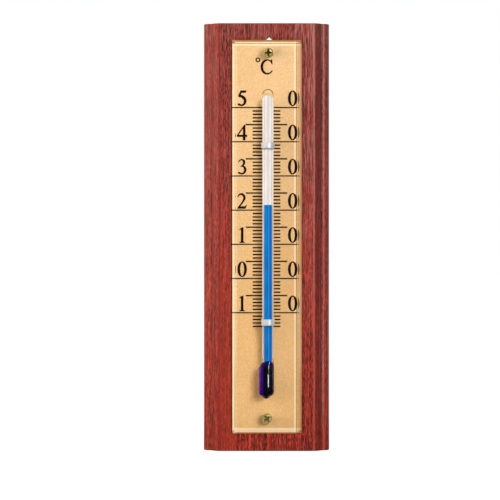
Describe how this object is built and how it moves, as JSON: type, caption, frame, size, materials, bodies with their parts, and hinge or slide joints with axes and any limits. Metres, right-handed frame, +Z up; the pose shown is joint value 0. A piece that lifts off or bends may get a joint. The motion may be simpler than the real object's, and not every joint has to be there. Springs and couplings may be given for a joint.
{
  "type": "room thermometer",
  "caption": "Wall room thermometer: moulded wooden board with a clear bevelled scale plate over gold foil and a clipped spirit-filled glass tube read in degrees Celsius.",
  "frame": {"origin": "middle of the board's flat back, the face that lies on the wall", "axes": "+Z up along the board's height, +Y into the wall, +X to the right of someone reading the scale"},
  "size_m": [0.0368, 0.0157, 0.125],
  "materials": {
    "stained_wood": "satin lacquer over a red-brown stain, fine upright grain",
    "gold_foil": "satin gold foil seen through the clear plate",
    "clear_sheet": "clear polished sheet with bevelled edges",
    "scale_ink": "matt printed ink",
    "tube_glass": "clear polished",
    "white_enamel": "opaque white, seen through glass",
    "bulb_spirit": "dark blue spirit, nearly black in the bulb",
    "thread_spirit": "bright blue spirit against white enamel",
    "clip_strip": "polished thin strip",
    "screw_brass": "bright, slightly worn"
  },
  "bodies": {
    "instrument": {"back_board": "stained_wood", "gold_foil": "gold_foil", "scale_plate": "clear_sheet", "scale_markings": "scale_ink", "glass_tube": "tube_glass", "enamel_strip": "white_enamel", "spirit_reservoir": "bulb_spirit", "spirit_thread": "thread_spirit", "tube_clip_upper": "clip_strip", "tube_clip_lower": "clip_strip", "plate_screw_top": "screw_brass", "plate_screw_bottom": "screw_brass"},
    "spirit_surface": {"spirit_top": "thread_spirit"}
  },
  "joints": [
    {"name": "spirit_level", "type": "slide", "parent": "instrument", "child": "spirit_surface", "axis": [0, 0, 1], "range_m": [-0.0354, 0.0284], "deforming": ["spirit_thread"]}
  ]
}
